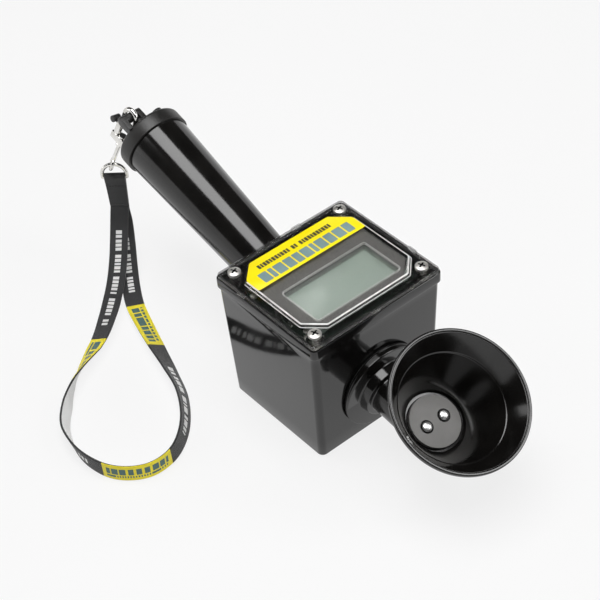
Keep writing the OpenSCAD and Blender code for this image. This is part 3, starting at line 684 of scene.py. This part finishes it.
def display_parts():
    bezel = softened_copy("display_bezel", "bezel", 0.25)
    finish_piece(bezel, "housing", ["display_bezel"], [BEZEL])
    # A thin light grey frame round the window's edge, standing in as painted highlight on the chamfer.
    b = Build()
    rings = [rounded_loop(WINDOW_X + wider, WINDOW_Y + wider, r, z, 6, WINDOW_MID) for wider, r, z in (
        (0, 1.5, 80.08), (1.3, 2.0, 80.08), (1.3, 2.0, 80.16), (1.1, 1.9, 80.2), (0.2, 1.6, 80.2),
        (0, 1.5, 80.12))]
    b.loft(rings, loop=True)
    finish_piece(b.object("window_edge_painted_highlight"), "housing", (), [WINDOW_EDGE_HIGHLIGHT])
    b = Build()
    b.loft([rounded_loop(32 - less, 60 - less, 0.5, z, 4, WINDOW_MID) for less, z in (
        (0.6, 73.35), (0, 73.5), (0, 75.95), (0.4, 76.1))])
    finish_piece(b.object("display_pane"), "housing", ["display_glass"], [DISPLAY])


def cover_screw_set():
    """Nickel heads; the faces inside the cross recess take the near-black seal material, as painted shade
    in the recess.
    """
    recess_r, under_top, recess_floor = 2.1 * MM, 0.25 * MM, 1.8 * MM
    screws = softened_copy("cover_screws", "pan_screws", 0.14)
    dress(screws, NICKEL, SEAL_AND_RECESS_SHADE)
    top = max(v.co.z for v in screws.data.vertices)
    # Faces inside the cross recess get the near-black material: painted shade.
    for face in screws.data.polygons:
        middle = face.center
        off_axis = min(hypot(middle.x - x * MM, middle.y - y * MM) for x, y in SCREWS)
        if off_axis < recess_r and under_top < top - middle.z < recess_floor:
            face.material_index = 1
    finish_piece(screws, "housing", ["cover_screws"])


# ---- cup and neck ----

def cup_bowl():
    """The cup with its spigot, and in its floor the grey disc, two dark rings and two domed studs."""
    b = Build()
    profile = [
        (36.9, -0.45), (36.9, -2.3), (36.1, -2.9), (17.4, -34.2), (17, -39.3), (11.5, -39.3), (11.5, -50),
        (9.3, -50), (9.3, -39.8), (0, -39.8), (0, -37.3), (13.8, -37.3), (13.8, -35.3), (15.6, -35.3),
        (15.8, -33), (27.9, -11.2), (28.5, -10.9), (34.7, -0.75), (35.15, -0.75), (35.3, 0), (36.5, 0),
    ]
    b.lathe(eased(profile, 0.35, 3), CUP, 160)
    finish_piece(b.object("cup_bowl", angle=30), "housing", ["cup"], [BLACK_SATIN])
    b = Build()
    disc = [(0, -37.28), (13.6, -37.28), (13.75, -37.1), (13.75, -33.42), (13.63, -33.3), (0, -33.3)]
    b.lathe(eased(disc, 0.05, 2), CUP, 96)
    studs = [CUP @ Matrix.Translation((0, y, 0)) for y in (-ELECTRODE_AT, ELECTRODE_AT)]
    for stud in studs:
        ring = [(2.6, -33.5), (2.6, -33.2), (3.3, -33.2), (3.55, -33.32), (3.55, -33.5)]
        b.lathe(eased(ring, 0.1, 2), stud, 48, material=1)
    disc = b.object("electrode_disc", angle=30)
    finish_piece(disc, "housing", ["electrode_base", "electrode_seals"],
                 [ELECTRODE_GREY, SEAL_AND_RECESS_SHADE])
    b = Build()
    rise = 1.25
    dome = [(0, -44.9), (1.5, -44.9), (1.5, -33.4), (2.6, -33.4), (DOME_R, DOME_FOOT)]
    dome += [(DOME_R * cos(radians(a)), DOME_FOOT + rise * sin(radians(a))) for a in range(10, 90, 8)]
    dome.append((0, DOME_FOOT + rise))
    for stud in studs:
        b.lathe(dome, stud, 48)
    domes = b.object("electrode_domes", angle=50)
    finish_piece(domes, "housing", ["electrodes"], [POLISHED])


def cut_at_wall(b, side, z):
    """Keeps what is 0.8 mm outside the front wall (side 1) or rear wall (side -1), and closes the cut."""
    normal = Vector((side * cos(DRAFT), 0, -sin(DRAFT)))
    point = Vector((side * wall_x(z), 0, z)) + normal * 0.8
    geom = b.bm.verts[:] + b.bm.edges[:] + b.bm.faces[:]
    bmesh.ops.bisect_plane(b.bm, geom=geom, plane_co=point * MM, plane_no=normal, clear_inner=True)
    rim = [e for e in b.bm.edges if e.is_boundary]
    bmesh.ops.edgeloop_fill(b.bm, edges=rim)


def neck():
    """A tilted disc, a conical hub and the neck, on a disc that lies flat on the front wall."""
    b = Build()
    disc_r = FLANGE_R - 0.3
    profile = [(0, -6), (disc_r, -6), (disc_r, FLANGE_T - 0.5), (disc_r - 0.6, FLANGE_T)]
    profile += [(HUB_R + 1.6, FLANGE_T), (HUB_R + 1, FLANGE_T + 0.15), (HUB_R + 0.7, FLANGE_T + 0.7)]
    profile += [(HUB_R, HUB_END), (NECK_R + 0.5, HUB_END), (NECK_R + 0.1, HUB_END + 0.2)]
    profile += [(NECK_R, HUB_END + 0.7), (NECK_R, NECK_END), (0, NECK_END)]
    b.lathe(eased(profile, 0.35, 4), NECK, 128)
    cut_at_wall(b, 1, FLANGE_Z)
    foot = [(0, 0.8), (FLANGE_R, 0.8), (FLANGE_R, 2), (0, 2)]
    b.lathe(eased(foot, 0.3, 4), FRONT_WALL, 128)
    finish_piece(b.object("neck_flange", angle=30), "housing", ["cup_neck"], [BLACK_SATIN])


# ---- handle and cap ----

def handle_tube():
    b = Build()
    profile = [(0, -12), (HANDLE_R, -12), (HANDLE_R, 0), (HANDLE_END_R, HANDLE_LEN)]
    profile += [(HANDLE_BORE, HANDLE_LEN), (HANDLE_BORE, 50), (0, 50)]
    b.lathe(eased(profile, 0.35, 3), HANDLE, 160)
    cut_at_wall(b, -1, HANDLE_AT[2])
    finish_piece(b.object("handle_tube", angle=30), "housing", ["handle"], [BLACK_SATIN])


def end_cap():
    cap = softened_copy("end_cap", "rubber_cap", 0.45)
    finish_piece(cap, "end_cap", ["end_cap"], [RUBBER])


# ---- button ----

def helix(name, frame_of, radius, wire, z0, z1):
    """A spring of five turns from z0 to z1, with closed ends, of a rod of radius wire."""
    b = Build()
    turns, closed, per_turn = 5, 0.8, 20
    steps = turns * per_turn
    points = []
    for i in range(steps + 1):
        t = i / steps
        lift = min(max((t * turns - closed) / (turns - 2 * closed), 0), 1)
        a = 2 * pi * turns * t
        points.append((radius * cos(a), radius * sin(a), z0 + wire + (z1 - z0 - 2 * wire) * lift))
    b.tube(points, wire, frame_of, 8)
    return b.object(name, angle=60)


def button_parts():
    button = softened_copy("power_button", "push_button", 0.5)
    finish_piece(button, "power_button", ["power_button"], [BUTTON_RED])
    bush = softened_copy("button_bush", "bush", 0.3)
    finish_piece(bush, "housing", ["button_bush"], [SATIN_BLACK])
    seat = -13.3
    spring = helix("button_coil", REAR_BUTTON, 2.95, 0.4, seat, -5.8)
    finish_piece(spring, "housing", ["button_spring"], [SPRING_STEEL])
    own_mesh(spring)


# ---- snap hook and ring ----

def hook_parts():
    for node, name, width, body, slot, mat in (
            ("hook", "snap_hook", 0.3, "hook", "hook_chrome", CHROME),
            ("hook_trigger", "thumb_trigger", 0.25, "hook_trigger", "trigger_black", SATIN_BLACK),
            ("swivel_eye", "swivel", 0.25, "strap_end", "hook_chrome", CHROME),
            ("d_ring", "strap_ring", 0.15, "strap_end", "hook_chrome", CHROME)):
        finish_piece(softened_copy(node, name, width), body, [node], [mat])
    seat = -15.9
    spring = helix("trigger_coil", HOOK @ Matrix.Translation((-HOOK_R, 0, 0)), 1.08, 0.2, seat, -10.9)
    finish_piece(spring, "hook", ["trigger_spring"], [SPRING_STEEL])
    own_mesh(spring)


# ---- strap ----

def strap_turn(u):
    """The ribbon's turn about its own line, at the share u of its length."""
    for (u0, a0), (u1, a1) in zip(TURNS, TURNS[1:]):
        if u <= u1:
            return radians(a0 + (a1 - a0) * (u - u0) / (u1 - u0))
    return radians(TURNS[-1][1])


def strap_frames(steps):
    """Along the strap: a point, the way across the ribbon, the way out of its face, the length so far."""
    path = curve_points(STRAP, steps)
    out, run = [], 0.0
    last = len(path) - 1
    for i, p in enumerate(path):
        d = (path[min(i + 1, last)] - path[max(i - 1, 0)]).normalized()
        a = strap_turn(i / last)
        v = Vector((cos(a) * cos(STRAP_DIR), cos(a) * sin(STRAP_DIR), sin(a)))
        across = (v - d * v.dot(d)).normalized()
        if i:
            run += (p - path[i - 1]).length
        out.append((p, across, d.cross(across), run))
    return out


def add_uv(obj, values):
    layer = obj.data.uv_layers.new(name="strip")
    for loop in obj.data.loops:
        layer.data[loop.index].uv = values[loop.vertex_index]


# Where the ribbon's outer face is printed, in millimetres from the tab: panels and rows of plain blocks
PANELS = [(90, 126), (195, 233), (320, 356)]
BLOCK_ROWS = [(14, 80), (162, 186), (248, 300), (366, 404)]
BLACK, YELLOW, TEAL, WHITE = range(4)


def print_of(run, x):
    """Which of the ribbon's materials its outer face has at run along it and x across it."""
    for start, stop in PANELS:
        if start <= run <= stop:
            if 2.5 < run - start < stop - start - 2.5:
                step = (run - start) % 4.2
                if -1.0 < x < 3.0 and step > 0.9:
                    return TEAL
                if -3.1 < x < -1.9 and step % 1.4 > 0.45:
                    return TEAL
            return YELLOW
    for start, stop in BLOCK_ROWS:
        if start <= run <= stop and -1.6 < x < 1.6:
            word = (run - start) % 15.0
            if word < 13.2 and word % 2.6 > 0.8:
                return WHITE
    return BLACK


def strap_piece():
    """The ribbon: printed on its outer face, white on its inner face, thinner and black at its edges."""
    frames = strap_frames(20)
    columns = 30
    half_w, half_t = STRAP_W / 2 - 0.05, STRAP_T / 2 - 0.05
    b = Build()
    xs = [-half_w + 2 * half_w * k / columns for k in range(columns + 1)]
    verts, uvs = [], []
    for p, across, face, run in frames:
        for sign in (1, -1):
            for x in (xs if sign > 0 else xs[::-1]):
                edge = min(1.0, (half_w - abs(x)) / 0.35)
                y = sign * (half_t * (0.35 + 0.65 * edge))
                verts.append(tuple(p + across * x + face * y))
                uvs.append((run, x))
    n = 2 * (columns + 1)
    count = len(frames)
    faces, mats = [], []
    for i in range(count - 1):
        run = 0.5 * (frames[i][3] + frames[i + 1][3])
        for k in range(n):
            q = (k + 1) % n
            faces.append((i * n + k, (i + 1) * n + k, (i + 1) * n + q, i * n + q))
            if k < columns:
                mats.append(print_of(run, 0.5 * (xs[k] + xs[k + 1])))
            elif columns < k < n - 1:
                inside = abs(xs[k - columns - 1]) < half_w - 0.6
                mats.append(WHITE if inside else BLACK)
            else:
                mats.append(BLACK)
    faces += [tuple(range(n)), tuple((count - 1) * n + k for k in range(n - 1, -1, -1))]
    mats += [BLACK, BLACK]
    made = b.shell(verts, faces)
    for face, m in zip(made, mats):
        face.material_index = m
    b.bm.verts.index_update()
    mesh = bpy.data.meshes.new("wrist_strap")
    b.bm.to_mesh(mesh)
    b.bm.free()
    strap = bpy.data.objects.new("wrist_strap", mesh)
    bpy.context.collection.objects.link(strap)
    add_uv(strap, uvs)
    dress(strap, RIBBON_BLACK, RIBBON_YELLOW, RIBBON_TEAL, RIBBON_WHITE)
    return strap, frames


def tab_width(z):
    """The tab's width at height z as a share of its width at the bar: it narrows a little downwards."""
    return 1 + min(z, 0) * 0.0058


def add_tab_uv(obj):
    inverse = RING.inverted()
    local = [inverse @ (v.co / MM) for v in obj.data.vertices]
    add_uv(obj, [(v.z, v.x) for v in local])


def tab_pieces():
    """The ribbon folded round the ring's bar and sewn down, with its stitches."""
    b = Build()
    outline = [(1.55, -TAB_LEN), (1.75, -TAB_LEN + 0.6), (1.6, -14), (1.55, -8), (1.75, -4), (2.15, -2)]
    outline += [(2.3 * cos(radians(a)), 2.3 * sin(radians(a))) for a in range(-15, 196, 15)]
    outline += [(-n, z) for n, z in reversed(outline[:6])]
    rings = []
    for x, inset in ((-5.9, 0.45), (-5.75, 0.12), (-5.3, 0), (-3, 0), (0, 0),
                     (3, 0), (5.3, 0), (5.75, 0.12), (5.9, 0.45)):
        thinner, shorter = 1 - inset * 0.3, 1 - inset * 0.012
        rings.append([(x * tab_width(z), n * thinner, z * shorter) for n, z in outline])
    b.loft(rings, RING)
    tab = b.object("strap_tab_fold", angle=50)
    add_tab_uv(tab)
    b = Build()
    for side in (-1, 1):
        for z in (-18.6, -5.6):
            for k in range(6):
                x = (-4.6 + 1.75 * k) * tab_width(z)
                n = side * (1.66 if z < -10 else 1.7)
                stitch = [(x + dx, n + side * out, z) for dx, out in
                          ((0, -0.25), (0.2, 0.1), (0.65, 0.16), (1.1, 0.1), (1.3, -0.25))]
                b.tube(stitch, 0.2, RING, 6)
    thread = b.object("tab_stitches", angle=60)
    add_tab_uv(thread)
    dress(tab, RIBBON_BLACK)
    dress(thread, THREAD)
    return tab, thread


def strap_parts():
    strap, frames = strap_piece()
    tab, thread = tab_pieces()
    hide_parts("strap")
    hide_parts("strap_tab")
    for piece in (tab, thread):
        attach(piece, "strap_end")
    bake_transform(strap)


# ---- the rest of the CAD nodes, which keep their CAD shape ----

PLAIN = {
    "cover_gasket": GASKET, "display_pins": CHIP, "circuit_board": BOARD, "board_chips": CHIP,
    "board_sockets": NYLON, "board_screws": NICKEL, "switch_body": SATIN_BLACK, "switch_nut": TIN,
    "switch_wires": WIRE_BLUE, "flange_gasket": GASKET, "neck_nut": SATIN_BLACK, "electrode_nuts": TIN,
    "cup_plug": SATIN_BLACK, "sensor_wires": WIRE_RED, "handle_gasket": GASKET, "handle_nut": SATIN_BLACK,
    "battery_leads": WIRE_RED, "battery_snap": SATIN_BLACK, "battery_terminals": TIN, "battery": CELL,
    "foam_pad": FOAM,
}

strap_parts()
housing_shell()
window_cover()
label_film()
display_parts()
cover_screw_set()
cup_bowl()
neck()
handle_tube()
end_cap()
button_parts()
hook_parts()
for node, material in PLAIN.items():
    dress(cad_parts[node], material)
